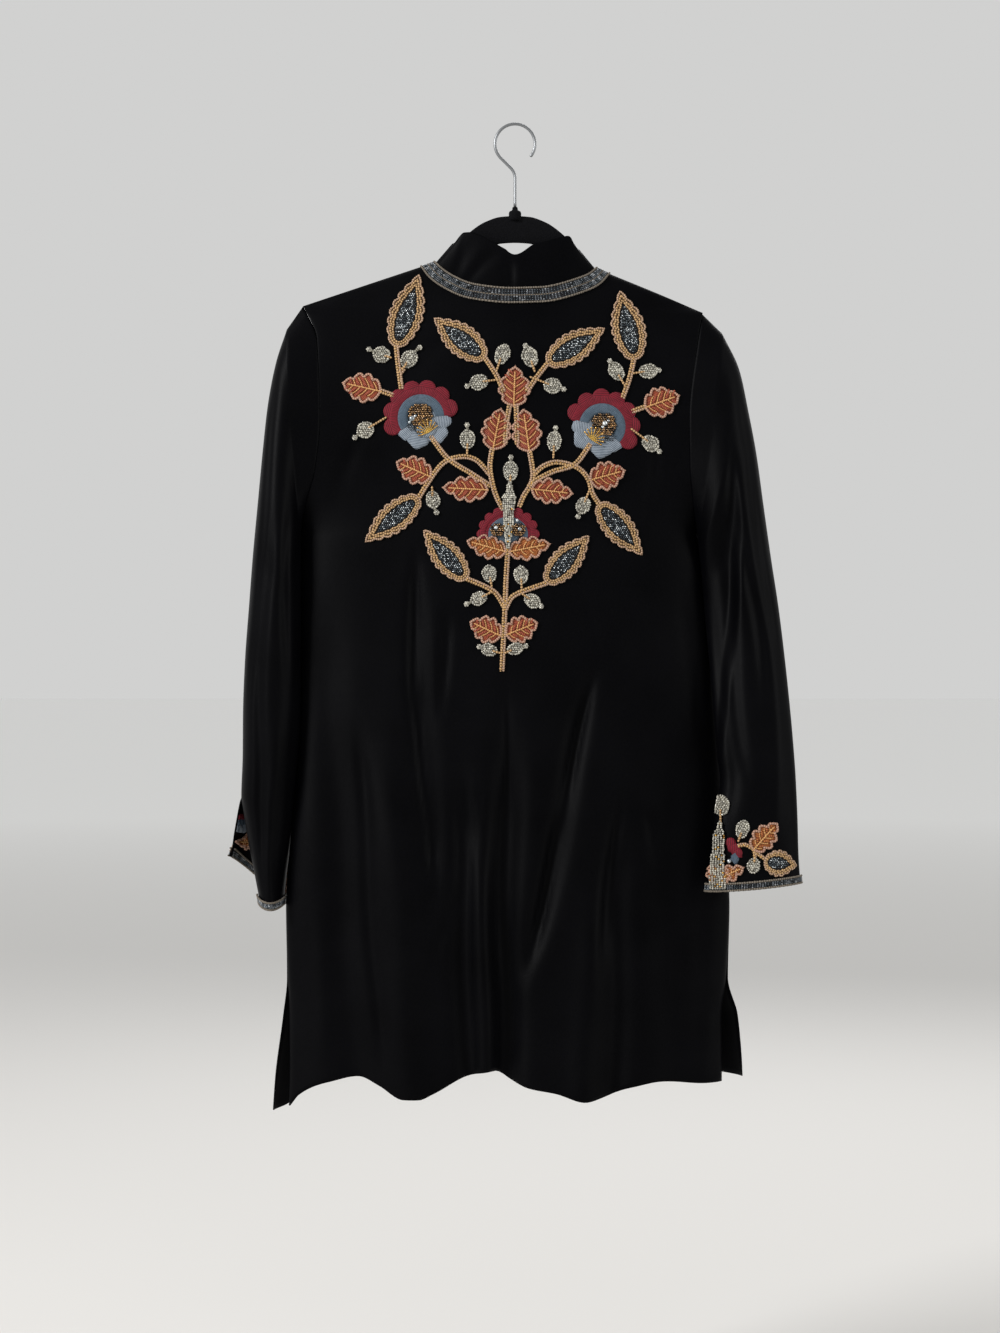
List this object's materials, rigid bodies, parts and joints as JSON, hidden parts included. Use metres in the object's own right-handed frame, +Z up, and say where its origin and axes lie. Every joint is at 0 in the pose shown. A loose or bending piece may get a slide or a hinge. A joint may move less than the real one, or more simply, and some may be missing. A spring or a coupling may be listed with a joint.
{
  "type": "embroidered jacket on a hanger",
  "caption": "Tunic-length jacket with a soft stand collar, beaded neck and cuff braid and a raised floral spray on its back, hung on a slim flocked hanger with a wire hook.",
  "frame": {"origin": "inner top of the hook, where a rail carries the hanger", "axes": "+Z up, -Y out of the embroidered back, +Y out of the plain fronts, +X to the right as one looks at the embroidered back"},
  "size_m": [0.5774, 0.1124, 0.9884],
  "materials": {
    "crepe": "matt black wool crepe with a slight sheen",
    "braid": "woven braid set with small grey beads",
    "embroidery": "couched gold-tan cord, satin stitch and beads",
    "flocking": "black velvet flocking over a moulded bar",
    "wire": "plated steel wire"
  },
  "bodies": {
    "root": {"back": "crepe", "front-left": "crepe", "front-right": "crepe", "sleeve-left": "crepe", "sleeve-right": "crepe", "collar": "crepe", "neck-braid-back": "braid", "neck-braid-left": "braid", "neck-braid-right": "braid", "cuff-braid-left": "braid", "cuff-braid-right": "braid", "spray-1": "embroidery", "cuff-motif-left-1": "embroidery", "cuff-motif-right-1": "embroidery", "hanger": "flocking", "hook": "wire"}
  },
  "joints": []
}
